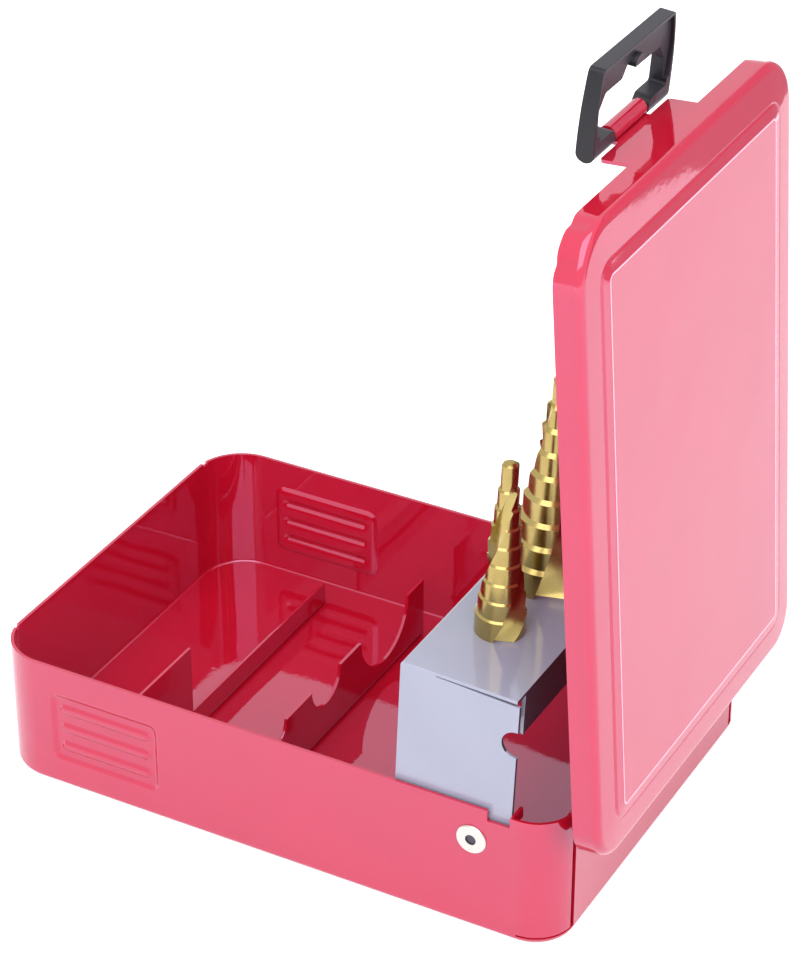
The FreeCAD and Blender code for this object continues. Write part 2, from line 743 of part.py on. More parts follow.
def make_lid():
    """Made shut, over the tray."""
    lid = pan(lid_front_x, hinge_end_x, right_y, left_y, lid_face_z, lid_edge_z,
              front_corner_radius, hinge_corner_radius, lid_fold_radius)
    # The raised panel: pressed outwards, its sloping border a little wider than it is high.
    length = hinge_end_x - lid_front_x - panel_front_inset - panel_hinge_inset
    width = tray_width - 2 * panel_side_inset
    middle_x = (lid_front_x + panel_front_inset + hinge_end_x - panel_hinge_inset) / 2
    radii = [panel_front_radius, panel_hinge_radius, panel_hinge_radius, panel_front_radius]
    raised = pressed_frustum(length, width, radii, panel_slope_width, panel_rise,
                             V(middle_x, 0, lid_face_z), "+z")
    hollow = raised.copy()
    hollow.translate(V(0, 0, -sheet))
    lid = lid.cut(hollow).fuse(raised.cut(hollow))
    # The hinge flange hangs between the tray's slits and carries the lid's knuckles.
    y0 = hinge_start_y + hinge_side_gap
    y1 = hinge_end_y - hinge_side_gap
    spans = knuckle_spans()
    clear = knuckle_radius + knuckle_relief
    lid = lid.fuse(box(hinge_end_x - sheet, hinge_end_x, y0, y1, hinge_z + clear, lid_edge_z + sheet))
    for k0, k1 in spans[1::2]:
        riser = box(hinge_end_x - sheet, hinge_end_x, k0, k1, hinge_z, hinge_z + clear + sheet)
        barrel = rolled_barrel(hinge_x, hinge_z, knuckle_inner_radius, knuckle_radius, k0, k1,
                               lid_seam_angle, curl_gap_angle)
        lid = lid.fuse(riser).fuse(barrel)
    lid = lid.cut(rod_along_y(hinge_x, hinge_z, knuckle_inner_radius, right_y, left_y))
    # The tab goes on down from the front flange, and its middle rolls into the handle's eye.
    tab = prism([V(lid_front_x, -tab_width / 2, lid_edge_z + tab_fillet),
                 V(lid_front_x, tab_width / 2, lid_edge_z + tab_fillet),
                 V(lid_front_x, tab_width / 2, tab_end_z),
                 V(lid_front_x, -tab_width / 2, tab_end_z)], V(sheet, 0, 0))
    tab_corners = [e for e in tab.Edges
                   if all(abs(v.Point.z - tab_end_z) < slight for v in e.Vertexes)
                   and abs(abs(e.Vertexes[0].Point.y) - tab_width / 2) < slight
                   and abs(abs(e.Vertexes[-1].Point.y) - tab_width / 2) < slight
                   and e.Length < 2 * sheet]
    tab = tab.makeFillet(tab_corner_radius, tab_corners)
    lid = lid.fuse(tab)
    for side in (-1, 1):
        corner_y = side * (tab_width / 2 + tab_fillet)
        web = box(lid_front_x, lid_front_x + sheet, min(corner_y, side * tab_width / 2),
                  max(corner_y, side * tab_width / 2), lid_edge_z - tab_fillet, lid_edge_z + sheet)
        web = web.cut(Part.makeCylinder(tab_fillet, sheet + 2 * overrun,
                                        V(lid_front_x - overrun, corner_y, lid_edge_z - tab_fillet),
                                        V(1, 0, 0)))
        lid = lid.fuse(web)
    strip = box(lid_front_x, lid_front_x + sheet, -eye_width / 2, eye_width / 2, eye_z,
                tab_end_z + sheet)
    eye = rolled_barrel(eye_x, eye_z, eye_peg_radius, eye_radius, -eye_width / 2, eye_width / 2,
                        eye_seam_angle, eye_gap_angle)
    lid = lid.fuse(strip).fuse(eye)
    lid = lid.cut(rod_along_y(eye_x, eye_z, eye_peg_radius, -tray_width, tray_width))
    return lid.removeSplitter()


def swing_lid_open(shape):
    shape.rotate(V(hinge_x, 0, hinge_z), V(0, 1, 0), lid_open_angle)
    return shape


def handle_outline(inset, low, high):
    """The hanging handle from the front: it swells below its feet and draws in to the bar."""
    bar = handle_bar_width / 2 - inset
    middle = handle_bar_width / 2 + handle_middle_flare - inset
    foot = handle_bar_width / 2 + handle_foot_flare - inset
    middle_z = (low + high) / 2
    edges = [Part.LineSegment(V(0, -foot, high), V(0, foot, high)).toShape(),
             Part.Arc(V(0, foot, high), V(0, middle, middle_z), V(0, bar, low)).toShape(),
             Part.LineSegment(V(0, bar, low), V(0, -bar, low)).toShape(),
             Part.Arc(V(0, -bar, low), V(0, -middle, middle_z), V(0, -foot, high)).toShape()]
    return Part.Face(Part.Wire(edges))


def opening_outline():
    """Half of the handle's opening, hanging: wide at the arms, an arch in the bar at its middle."""
    half_bar = handle_bar_width / 2
    bar = -(handle_length - bar_depth)
    return [(half_bar + handle_foot_flare - arm_foot_width, -opening_foot),
            (half_bar + handle_middle_flare - arm_middle_width, -opening_shoulder),
            (half_bar - bar_corner_width, bar),
            (arch_half_share * half_bar, bar),
            (arch_top_half_share * half_bar, -arch_top)]


def edges_along_x(shape, z, length):
    """The straight edges across a handle's thickness, at one height or at all heights."""
    found = []
    for edge in shape.Edges:
        a, b = edge.Vertexes[0].Point, edge.Vertexes[-1].Point
        at_height = z is None or (abs(a.z - z) < slight and abs(b.z - z) < slight)
        if at_height and abs(a.x - b.x) > length:
            found.append(edge)
    return found


def make_handle():
    """Made hanging down from the eye of the shut lid, in the plane of the front wall."""
    foot = handle_foot_thickness / 2
    bar = handle_bar_thickness / 2
    wide = 2 * handle_foot_thickness
    # The side view: thicker at its feet than at the bar, with round ends about the eye.
    side = prism([V(-foot, -tray_width, 0), V(foot, -tray_width, 0),
                  V(bar, -tray_width, -handle_length), V(-bar, -tray_width, -handle_length)],
                 V(0, 2 * tray_width, 0))
    side = side.fuse(rod_along_y(0, 0, foot, -tray_width, tray_width))
    frame = handle_outline(0, -handle_length, foot).extrude(V(2 * wide, 0, 0))
    frame.translate(V(-wide, 0, 0))
    frame = frame.makeFillet(handle_corner_radius, edges_along_x(frame, -handle_length, wide))
    right = opening_outline()
    ring = [V(-wide, y, z) for y, z in right] + [V(-wide, -y, z) for y, z in reversed(right)]
    hole = prism(ring, V(2 * wide, 0, 0))
    hole = hole.makeFillet(opening_corner_radius, edges_along_x(hole, None, wide))
    between = box(-wide, wide, -eye_width / 2 - boss_gap, eye_width / 2 + boss_gap,
                  -opening_foot - overrun, wide)
    handle = frame.common(side).cut(hole).cut(between)
    # The outer face is recessed to a web inside a narrow rim, down to the arms' feet.
    web = -(bar - web_recess)
    recess = handle_outline(web_rim, -handle_length + web_rim, -web_foot).extrude(V(wide + web, 0, 0))
    recess.translate(V(-wide, 0, 0))
    handle = handle.cut(recess)
    # A half-round nub stands on the web and reaches into the arch, for the catch.
    nub = Part.makeCylinder(nub_radius, bar + nub_stand + bar / 2,
                            V(-bar - nub_stand, 0, -nub_low), V(1, 0, 0))
    nub = nub.common(box(-wide, wide, -nub_radius, nub_radius, -nub_low - nub_radius, -nub_low))
    handle = handle.fuse(nub)
    peg_end = eye_width / 2 - peg_length
    for side_y in (-1, 1):
        ys = sorted((side_y * peg_end, side_y * (eye_width / 2 + boss_gap + overrun)))
        handle = handle.fuse(rod_along_y(0, 0, eye_peg_radius - peg_clearance, ys[0], ys[1]))
    handle = handle.removeSplitter()
    handle.translate(V(eye_x, 0, eye_z))
    handle.rotate(V(eye_x, 0, eye_z), V(0, 1, 0), handle_fold_out)
    return swing_lid_open(handle)


def make_catch():
    """Welded to the front wall: a flat plate whose middle is bent out into a hook."""
    t = catch_sheet
    plate = box(front_x - t, front_x, -catch_plate_width / 2, catch_plate_width / 2,
                catch_plate_bottom, catch_plate_top)
    hook_bottom = eye_z - nub_low + catch_hook_gap
    r = catch_hook_radius
    lip_x = front_x - 2 * r - catch_lip_reach
    path = [(front_x, catch_plate_bottom + t), (front_x, hook_bottom), (lip_x, hook_bottom),
            (lip_x - r, hook_bottom + 2 * r)]
    hook = bent_strip(path, r + t, t, -catch_hook_width / 2, catch_hook_width / 2)
    catch = plate.fuse(hook)
    for side in (-1, 1):
        dot = Part.makeCylinder(catch_weld_radius, weld_dot_depth + overrun,
                                V(front_x - t - overrun,
                                  side * catch_weld_spacing / 2, catch_weld_height), V(1, 0, 0))
        catch = catch.cut(dot)
    return catch.removeSplitter()


def make_hinge_pin():
    spans = knuckle_spans()
    return rod_along_y(hinge_x, hinge_z, pin_radius, spans[0][0], spans[-1][1])


def mirrored(shape):
    return shape.mirror(V(0, 0, 0), V(0, 1, 0))


def build():
    parts = {
        "tray": make_tray(),
        "stop_plate": make_stop_plate(),
        "cradle_plate": make_cradle_plate(),
        "latch_catch": make_catch(),
        "hinge_pin": make_hinge_pin(),
        "rivet_right": make_rivet(),
        "rivet_left": mirrored(make_rivet()),
        "washer_right": make_washer(),
        "washer_left": mirrored(make_washer()),
        "lid": swing_lid_open(make_lid()),
        "latch_handle": make_handle(),
        "drill_holder": swing_up(make_holder()),
    }
    for name, drill in drills().items():
        parts[name] = swing_up(make_drill(drill))
    return parts


os.makedirs("parts", exist_ok=True)
for name, shape in build().items():
    solids = shape.Solids
    print(name, "solids", len(solids), "valid", shape.isValid(), "volume", round(shape.Volume, 1))
    shape.exportStep("parts/" + name + ".step")
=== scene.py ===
import math

import bmesh
import bpy
from mathutils import Matrix, Vector


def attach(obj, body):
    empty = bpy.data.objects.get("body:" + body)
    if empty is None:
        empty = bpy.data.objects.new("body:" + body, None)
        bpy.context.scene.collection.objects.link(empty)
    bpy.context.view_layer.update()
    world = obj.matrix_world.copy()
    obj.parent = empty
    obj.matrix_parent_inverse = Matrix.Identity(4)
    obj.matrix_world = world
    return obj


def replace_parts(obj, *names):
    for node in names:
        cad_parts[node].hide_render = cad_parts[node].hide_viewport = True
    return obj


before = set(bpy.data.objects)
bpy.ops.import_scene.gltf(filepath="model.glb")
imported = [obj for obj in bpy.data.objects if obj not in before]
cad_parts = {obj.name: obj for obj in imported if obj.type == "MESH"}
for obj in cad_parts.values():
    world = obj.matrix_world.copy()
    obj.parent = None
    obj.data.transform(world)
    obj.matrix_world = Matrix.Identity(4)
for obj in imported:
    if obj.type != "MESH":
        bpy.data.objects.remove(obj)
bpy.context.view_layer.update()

# Studio: a pale table that runs on to all sides, white walls all round it and soft lamps.
# The camera stands a little to the right of the case's long side and looks down on it, from
# about 0.8 m, with a long lens. Its place is measured from the tray's front right corner.
lens_length = 119.66
camera_distance = 796.0
camera_right = 100.54
camera_up = 71.34
azimuth = math.radians(28.61)
elevation = math.radians(31.59)
case_middle = Vector((77.5, 55.0, 0.0))
table_radius = 2.2
table_lift = 0.42
back = Vector((math.sin(azimuth) * math.cos(elevation),
               -math.cos(azimuth) * math.cos(elevation), math.sin(elevation)))
right = Vector((math.cos(azimuth), math.sin(azimuth), 0.0))
up = back.cross(right)
stand = (back * camera_distance + right * camera_right + up * camera_up - case_middle) * 0.001
camera = bpy.data.objects.new("camera", bpy.data.cameras.new("camera"))
camera.data.lens = lens_length
camera.data.clip_start = 0.01
camera.matrix_world = Matrix.Translation(stand) @ Matrix((right, up, back)).transposed().to_4x4()
bpy.context.scene.collection.objects.link(camera)
bpy.context.scene.camera = camera
bpy.context.scene.view_settings.view_transform = "Standard"


def linear(hex_colour):
    """An sRGB hex colour as the linear numbers that a shader takes."""
    parts = [int(hex_colour[i:i + 2], 16) / 255 for i in (1, 3, 5)]
    return [p / 12.92 if p <= 0.04045 else ((p + 0.055) / 1.055) ** 2.4 for p in parts] + [1.0]


def add(tree, kind, settings, links=None):
    """Adds a shader node with its settings, and joins other nodes' outputs to its inputs."""
    made = tree.nodes.new(kind)
    for key, value in settings.items():
        if isinstance(key, str) and hasattr(made, key):
            setattr(made, key, value)
        else:
            made.inputs[key].default_value = value
    for key, output in (links or {}).items():
        tree.links.new(output, made.inputs[key])
    return made


def material(name):
    """An empty material with its tree and its output node."""
    made = bpy.data.materials.new(name)
    made.use_nodes = True
    made.node_tree.nodes.clear()
    output = made.node_tree.nodes.new("ShaderNodeOutputMaterial")
    return made, made.node_tree, output


def is_seen(tree):
    """1 for what the camera, a mirror or glass sees, and 0 for what only lights the case."""
    ray = add(tree, "ShaderNodeLightPath", {})
    either = add(tree, "ShaderNodeMath", {"operation": "MAXIMUM"},
                 {0: ray.outputs["Is Camera Ray"], 1: ray.outputs["Is Glossy Ray"]})
    seen = add(tree, "ShaderNodeMath", {"operation": "MAXIMUM"},
               {0: either.outputs[0], 1: ray.outputs["Is Transmission Ray"]})
    return seen.outputs[0]


def placed(bm, name, finishes):
    """Ends a mesh as an object in the scene, with its finishes."""
    made = bpy.data.objects.new(name, bpy.data.meshes.new(name))
    bm.to_mesh(made.data)
    bm.free()
    for finish in finishes:
        made.data.materials.append(finish)
    bpy.context.scene.collection.objects.link(made)
    return made


# Matt white table paint: almost no texture, it only takes the case's soft shadow. Where it is
# seen it is lifted to white.
table_paint, tree, output = material("matt_white_table_paint")
lift = add(tree, "ShaderNodeMath", {"operation": "MULTIPLY", 1: table_lift}, {0: is_seen(tree)})
fine = add(tree, "ShaderNodeTexNoise", {"Scale": 60.0, "Detail": 4.0},
           {"Vector": add(tree, "ShaderNodeTexCoord", {}).outputs["Object"]})
grain = add(tree, "ShaderNodeBump", {"Strength": 0.05, "Distance": 0.0005},
            {"Height": fine.outputs["Fac"]})
matt = add(tree, "ShaderNodeBsdfDiffuse", {"Color": linear("#E8E8EA"), "Roughness": 0.9},
           {"Normal": grain.outputs[0]})
glow = add(tree, "ShaderNodeEmission", {"Color": linear("#FFFFFF")}, {"Strength": lift.outputs[0]})
both = add(tree, "ShaderNodeAddShader", {}, {0: matt.outputs[0], 1: glow.outputs[0]})
tree.links.new(both.outputs[0], output.inputs["Surface"])

bm = bmesh.new()
bmesh.ops.create_circle(bm, cap_ends=True, segments=96, radius=table_radius)
placed(bm, "table", [table_paint])

# The white room round the table, lit a little less from above than from the sides.
room = bpy.data.worlds.new("white_room")
bpy.context.scene.world = room
room.use_nodes = True
room.node_tree.nodes.clear()
direction = add(room.node_tree, "ShaderNodeTexCoord", {})
height = add(room.node_tree, "ShaderNodeSeparateXYZ", {}, {0: direction.outputs["Generated"]})
lit = add(room.node_tree, "ShaderNodeMapRange", {"To Min": 0.9, "To Max": 0.85},
          {"Value": height.outputs["Z"]})
level = add(room.node_tree, "ShaderNodeMix", {"data_type": "FLOAT", 3: 1.0},
            {0: is_seen(room.node_tree), 2: lit.outputs[0]})
walls = add(room.node_tree, "ShaderNodeBackground", {"Color": linear("#FFFFFF")},
            {"Strength": level.outputs[0]})
add(room.node_tree, "ShaderNodeOutputWorld", {}, {"Surface": walls.outputs[0]})


def lamp(name, place, target, size, power, is_mirrored):
    """A soft square lamp that looks at the case, and that gloss and metal may mirror."""
    light = bpy.data.lights.new(name, "AREA")
    light.size = size
    light.energy = power
    stand = bpy.data.objects.new(name, light)
    aim = (Vector(target) - Vector(place)).to_track_quat("-Z", "Y")
    stand.matrix_world = Matrix.Translation(place) @ aim.to_matrix().to_4x4()
    stand.visible_glossy = is_mirrored
    bpy.context.scene.collection.objects.link(stand)


lamp("front_lamp", (0.2, -1.4, 0.55), (0.0, 0.0, 0.05), 0.9, 7.5, False)
lamp("side_lamp", (1.3, -0.3, 0.6), (0.0, 0.0, 0.08), 0.8, 5.0, False)
lamp("top_lamp", (0.35, -0.62, 1.2), (0.0, 0.0, 0.1), 1.5, 15.5, True)

# A studio board of grey cloth stands on the table to the right behind the case. Only
# reflections see it: it gives the folds something grey to mirror.
board_width = 0.8
board_height = 0.6
board_place = (0.33, 0.4, board_height / 2)
board_facing = Vector((-0.53, -0.85, 0.0))
cloth, tree, output = material("matt_grey_cloth")
weave = add(tree, "ShaderNodeBsdfDiffuse", {"Color": linear("#B4B0B8"), "Roughness": 1.0})
tree.links.new(weave.outputs[0], output.inputs["Surface"])
bm = bmesh.new()
bmesh.ops.create_grid(bm, x_segments=1, y_segments=1, size=0.5)
bmesh.ops.scale(bm, verts=bm.verts, vec=(board_width, board_height, 1.0))
aim = board_facing.to_track_quat("Z", "Y")
bmesh.ops.transform(bm, verts=bm.verts,
                    matrix=Matrix.Translation(board_place) @ aim.to_matrix().to_4x4())
board = placed(bm, "cloth_board", [cloth])
board.visible_camera = False
board.visible_diffuse = False
board.visible_shadow = False

# Tray: one piece of 0.8 mm sheet steel, folded and pressed, in gloss enamel. Its side walls
# wrap round the corners, their grip panels are pressed in, and the hinge wall's edge is rolled
# to three knuckles.
sheet = 0.8
tray_length = 155.0
tray_width = 110.0
tray_height = 35.0
floor_fold = 1.5
front_corner = 13.0
hinge_corner = 10.0
hinge_axis = Vector((75.4, 0.0, 29.2))
hinge_wall_top = 26.8
wrap_end = 44.8
slit_end = 46.4
slit_foot_x = 67.5
slit_foot_top = 2.0
dip_start = 43.4
dip_end = 45.0
dip_bottom = 34.3
knuckle_count = 5
knuckle_pitch = 2 * wrap_end / knuckle_count
knuckle_gap = 0.4
knuckle_turn = math.radians(280)
stop_tab_x = 65.36
stop_tab_reach = 5.3
stop_notch_length = 5.8
stop_notch_bottom = 32.2
grip_x = -45.0
grip_z = 17.5
grip_reach = 15.5
grip_rise = 10.0
grip_corner = 2.5
grip_slope = 1.1
grip_depth = 0.7
grip_soft = 0.4
rib_pitch = 5.45
rib_reach = 11.5
rib_radius = 1.7
rib_slope = 1.3
rib_height = 0.7
rib_lines = (8.0, 11.6, 12.0, 12.4, 12.8, 13.2, 13.5)
rib_line_pitch = 0.3
front_zone = (-90, -70)
hinge_zone = (70, 90)
side_zone = (50, 60)
hinge_side_x = 77.0
beyond = 999.0


def enamel(name, hue):
    """Gloss enamel sprayed on pressed steel: a deep even colour whose skin mirrors the white
    room. Mirrored edges waver, as on sheet that isn't quite flat, and the skin has a faint
    orange peel and a few duller scuffs."""
    made, tree, output = material(name)
    at = add(tree, "ShaderNodeTexCoord", {})
    # Cloudy unevenness of the colour, some 20 mm across.
    cloud = add(tree, "ShaderNodeTexNoise", {"Scale": 48.0, "Detail": 3.0},
                {"Vector": at.outputs["Object"]})
    shade = add(tree, "ShaderNodeMapRange", {"To Min": 0.93, "To Max": 1.06},
                {"Value": cloud.outputs["Fac"]})
    tint = add(tree, "ShaderNodeHueSaturation", {"Color": linear(hue)},
               {"Value": shade.outputs[0]})
    # The sheet's waves, about 30 mm long.
    waves = add(tree, "ShaderNodeTexNoise", {"Scale": 33.0, "Detail": 1.0},
                {"Vector": at.outputs["Object"]})
    wave_bump = add(tree, "ShaderNodeBump", {"Strength": 0.6, "Distance": 0.0005},
                    {"Height": waves.outputs["Fac"]})
    # Orange peel, cells of 1 mm or less in life, drawn at 1.6 mm so that it shows.
    peel = add(tree, "ShaderNodeTexNoise", {"Scale": 625.0, "Detail": 2.0},
               {"Vector": at.outputs["Object"]})
    peel_bump = add(tree, "ShaderNodeBump", {"Strength": 0.12, "Distance": 0.0001},
                    {"Height": peel.outputs["Fac"], "Normal": wave_bump.outputs[0]})
    # Scuffs: long level streaks where the skin is duller.
    along = add(tree, "ShaderNodeMapping", {"Scale": (60.0, 60.0, 420.0)},
                {"Vector": at.outputs["Object"]})
    scuffs = add(tree, "ShaderNodeTexNoise", {"Scale": 1.0, "Detail": 5.0, "Roughness": 0.7},
                 {"Vector": along.outputs[0]})
    dull = add(tree, "ShaderNodeMapRange",
               {"From Min": 0.62, "From Max": 0.74, "To Min": 0.035, "To Max": 0.2},
               {"Value": scuffs.outputs["Fac"]})
    skin = add(tree, "ShaderNodeBsdfPrincipled",
               {"IOR": 2.1, "Specular Tint": linear("#F2D4FF"), "Coat Weight": 0.12,
                "Coat Roughness": 0.03},
               {"Base Color": tint.outputs[0], "Roughness": dull.outputs[0],
                "Normal": peel_bump.outputs[0]})
    tree.links.new(skin.outputs[0], output.inputs["Surface"])
    return made


case_red = enamel("gloss_red_enamel_on_pressed_steel", "#B8102A")


def flat_faces(bm, facing, point):
    """The faces that look one way and lie in one plane."""
    return [f for f in bm.faces if f.normal.dot(facing) > 0.999
            and abs((f.calc_center_median() - point).dot(facing)) < 0.01]


def hinge_faces(bm):
    """The faces that lie wholly in the wall beside the hinge."""
    return [f for f in bm.faces if all(v.co.x > hinge_side_x for v in f.verts)]


def scribe(bm, faces, axis, place):
    """Scribes a line across some faces, where they pass one place along an axis."""
    geometry = dict.fromkeys(faces)
    for f in faces:
        geometry.update(dict.fromkeys(f.edges))
        geometry.update(dict.fromkeys(f.verts))
    normal = Vector((0.0, 0.0, 0.0))
    normal[axis] = 1.0
    bmesh.ops.bisect_plane(bm, geom=list(geometry), dist=0.0001, plane_co=normal * place,
                           plane_no=normal)


def inside(point, low, high):
    return all(a - 0.001 < p < b + 0.001 for p, a, b in zip(point, low, high))


def mark_out(bm, facing, low, high, radius):
    """Scribes a rectangle on a flat side wall, rounds its corners and gives back its face."""
    for axis in (0, 2):
        for place in (low[axis], high[axis]):
            scribe(bm, flat_faces(bm, facing, low), axis, place)
    for end in (low.x, high.x):
        corners = [v for v in bm.verts if abs(v.co.x - end) < 0.01
                   and all(min(abs(v.co[i] - low[i]), abs(v.co[i] - high[i])) < 0.01
                           for i in range(3))]
        bmesh.ops.bevel(bm, geom=corners, offset=radius, offset_type="OFFSET", segments=5,
                        profile=0.5, affect="VERTICES", material=-1)
    found = [f for f in flat_faces(bm, facing, low)
             if inside(f.calc_center_median(), low, high)]
    return max(found, key=lambda f: f.calc_area())


def press(bm, face, slope, rise, soft):
    """Presses a marked face out or in. Its border slopes, with a soft fold at each end of it."""
    lean = rise / slope
    steps = [(soft / 2, 0.12 * soft * lean), (soft / 2, 0.38 * soft * lean),
             (slope - soft, rise - soft * lean),
             (soft / 2, 0.38 * soft * lean), (soft / 2, 0.12 * soft * lean)]
    for thickness, depth in steps:
        bmesh.ops.inset_individual(bm, faces=[face], thickness=thickness, depth=depth,
                                   use_even_offset=True)


def press_ribs(bm, side, panel_y):
    """Presses three long ribs back out of a grip panel: fine lines are scribed where they rise,
    and the points between them are pushed out to a round-ended rib's height."""
    facing = Vector((0, side, 0))
    point = Vector((grip_x, panel_y, grip_z))
    ribs = [grip_z + i * rib_pitch for i in (-1, 0, 1)]
    for end in (-1, 1):
        for reach in rib_lines:
            bm.normal_update()
            scribe(bm, flat_faces(bm, facing, point), 0, grip_x + end * reach)
    for rib_z in ribs:
        for i in range(-6, 7):
            bm.normal_update()
            scribe(bm, flat_faces(bm, facing, point), 2, rib_z + rib_line_pitch * i)
    for v in bm.verts:
        if abs(v.co.y - panel_y) < 0.01:
            for rib_z in ribs:
                past_end = max(abs(v.co.x - grip_x) - rib_reach, 0.0)
                share = (rib_radius - math.hypot(past_end, v.co.z - rib_z)) / rib_slope
                if share > 0:
                    share = min(share, 1.0)
                    v.co.y += side * rib_height * share * share * (3 - 2 * share)


def cut_out(bm, low, high):
    """Shears away what lies between two corners."""
    for axis in range(3):
        for place in (low[axis], high[axis]):
            if abs(place) < beyond:
                touched = [f for f in bm.faces
                           if all(min(v.co[i] for v in f.verts) < high[i] - 0.001
                                  and max(v.co[i] for v in f.verts) > low[i] + 0.001
                                  for i in range(3))]
                scribe(bm, touched, axis, place)
    gone = [f for f in bm.faces if inside(f.calc_center_median(), low, high)]
    bmesh.ops.delete(bm, geom=gone, context="FACES")


def cut_side(bm, side, xs, ys, zs):
    """Shears away a block on one side of the case, its width given outwards from the middle."""
    low_y, high_y = sorted((side * ys[0], side * ys[1]))
    cut_out(bm, (xs[0], low_y, zs[0]), (xs[1], high_y, zs[1]))


def grow(bm, edges):
    """Draws new faces out of some edges, and gives back their new edges and points."""
    grown = bmesh.ops.extrude_edge_only(bm, edges=edges)["geom"]
    points = [g for g in grown if isinstance(g, bmesh.types.BMVert)]
    ends = [g for g in grown if isinstance(g, bmesh.types.BMEdge)
            and all(v in points for v in g.verts)]
    return ends, points


def roll_knuckle(bm, place, start_z, axis):
    """Draws the hinge wall's edge out to the hinge's height at one of five places, and rolls it
    round the pin."""
    y0 = -wrap_end + place * knuckle_pitch + knuckle_gap / 2
    y1 = y0 + knuckle_pitch - knuckle_gap
    for y in (y0, y1):
        scribe(bm, hinge_faces(bm), 1, y)
    wall = [e for e in bm.edges if e.is_boundary and all(
        abs(v.co.z - start_z) < 0.01 and y0 - 0.01 < v.co.y < y1 + 0.01 and v.co.x > 70
        for v in e.verts)]
    edge, tips = grow(bm, wall)
    for v in tips:
        v.co.z = hinge_axis.z
    bmesh.ops.spin(bm, geom=edge + tips, cent=hinge_axis, axis=axis, dvec=(0, 0, 0),
                   angle=knuckle_turn, steps=14, use_duplicate=False)


def sheet_piece(bm, name, body, edge_round):
    """Ends a mesh made in millimetres as enamelled sheet: merged, scaled, smooth, and given its
    thickness inwards and a small round at its edges."""
    bmesh.ops.remove_doubles(bm, verts=bm.verts, dist=0.002)
    bmesh.ops.recalc_face_normals(bm, faces=bm.faces)
    bmesh.ops.scale(bm, verts=bm.verts, vec=(0.001, 0.001, 0.001))
    for f in bm.faces:
        f.smooth = True
    made = placed(bm, name, [case_red])
    thickness = made.modifiers.new("thickness", "SOLIDIFY")
    thickness.thickness = sheet * 0.001
    thickness.offset = -1.0
    rounded = made.modifiers.new("rounded", "BEVEL")
    rounded.width = edge_round
    rounded.segments = 2
    rounded.limit_method = "ANGLE"
    rounded.angle_limit = math.radians(50)
    level_shading = made.modifiers.new("level_shading", "WEIGHTED_NORMAL")
    level_shading.weight = 80
    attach(made, body)
    return made


def upright(bm, x, radius, segments):
    """Rounds the two upright corners at one end."""
    edges = [e for e in bm.edges if all(abs(v.co.x - x) < 0.01 for v in e.verts)
             and abs(e.verts[0].co.z - e.verts[1].co.z) > 1]
    bmesh.ops.bevel(bm, geom=edges, offset=radius, segments=segments, profile=0.5,
                    affect="EDGES", material=-1)


bm = bmesh.new()
bmesh.ops.create_cube(bm, size=1.0)
bmesh.ops.scale(bm, verts=bm.verts, vec=(tray_length, tray_width, tray_height))
bmesh.ops.translate(bm, verts=bm.verts, vec=(0.0, 0.0, tray_height / 2))
bmesh.ops.delete(bm, geom=[f for f in bm.faces if f.normal.z > 0.9], context="FACES_ONLY")
upright(bm, -tray_length / 2, front_corner, 14)
upright(bm, tray_length / 2, hinge_corner, 12)
rim = [e for e in bm.edges if all(abs(v.co.z) < 0.01 for v in e.verts)]
bmesh.ops.bevel(bm, geom=rim, offset=floor_fold, segments=5, profile=0.5, affect="EDGES",
                material=-1)
for side in (-1, 1):
    wall_y = side * tray_width / 2
    bm.normal_update()
    grip = mark_out(bm, Vector((0, side, 0)),
                    Vector((grip_x - grip_reach, wall_y, grip_z - grip_rise)),
                    Vector((grip_x + grip_reach, wall_y, grip_z + grip_rise)), grip_corner)
    press(bm, grip, grip_slope, -grip_depth, grip_soft)
    press_ribs(bm, side, wall_y - side * grip_depth)
    # The wrapped ends: a dip in the rim at the front, an open slit beside the hinge wall.
    cut_side(bm, side, front_zone, (dip_start, dip_end), (dip_bottom, beyond))
    cut_side(bm, side, hinge_zone, (wrap_end, slit_end), (floor_fold, beyond))
    cut_side(bm, side, (slit_foot_x, hinge_zone[1]), (wrap_end, side_zone[1]),
             (floor_fold, slit_foot_top))
    # The rim's notch beside the holder's stop, whose tab is bent in from the wall.
    cut_side(bm, side, (stop_tab_x - stop_notch_length, stop_tab_x), side_zone,
             (stop_notch_bottom, beyond))
    tab_root = [e for e in bm.edges if e.is_boundary and all(
        abs(v.co.x - stop_tab_x) < 0.01 and abs(v.co.y - wall_y) < 0.01 for v in e.verts)]
    bmesh.ops.translate(bm, verts=grow(bm, tab_root)[1], vec=(0.0, -side * stop_tab_reach, 0.0))
cut_out(bm, (hinge_zone[0], -wrap_end, hinge_wall_top), (hinge_zone[1], wrap_end, beyond))
for place in (0, 2, 4):
    roll_knuckle(bm, place, hinge_wall_top, (0, -1, 0))
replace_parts(sheet_piece(bm, "tray_shell", "tray", 0.0002), "tray")

# Stop plate and cradle plate: strips of the same sheet, folded once, spot-welded to the tray's
# floor and enamelled like it. The drills' tips meet the one, the other holds them apart.
plate_fold = 1.4
notch_gap = 0.02
stop_x = -41.1
stop_foot = 31.0
stop_ends = (-47.0, 45.0)
stop_top = 27.0
stop_low_end = -22.0
stop_low_top = 7.7
cradle_x = -11.2
cradle_foot = 22.0
cradle_ends = (-45.0, 45.0)
drill_axis_z = 18.0
notch_places = ((-30.8, 4.7), (-6.4, 7.3), (24.0, 12.6))


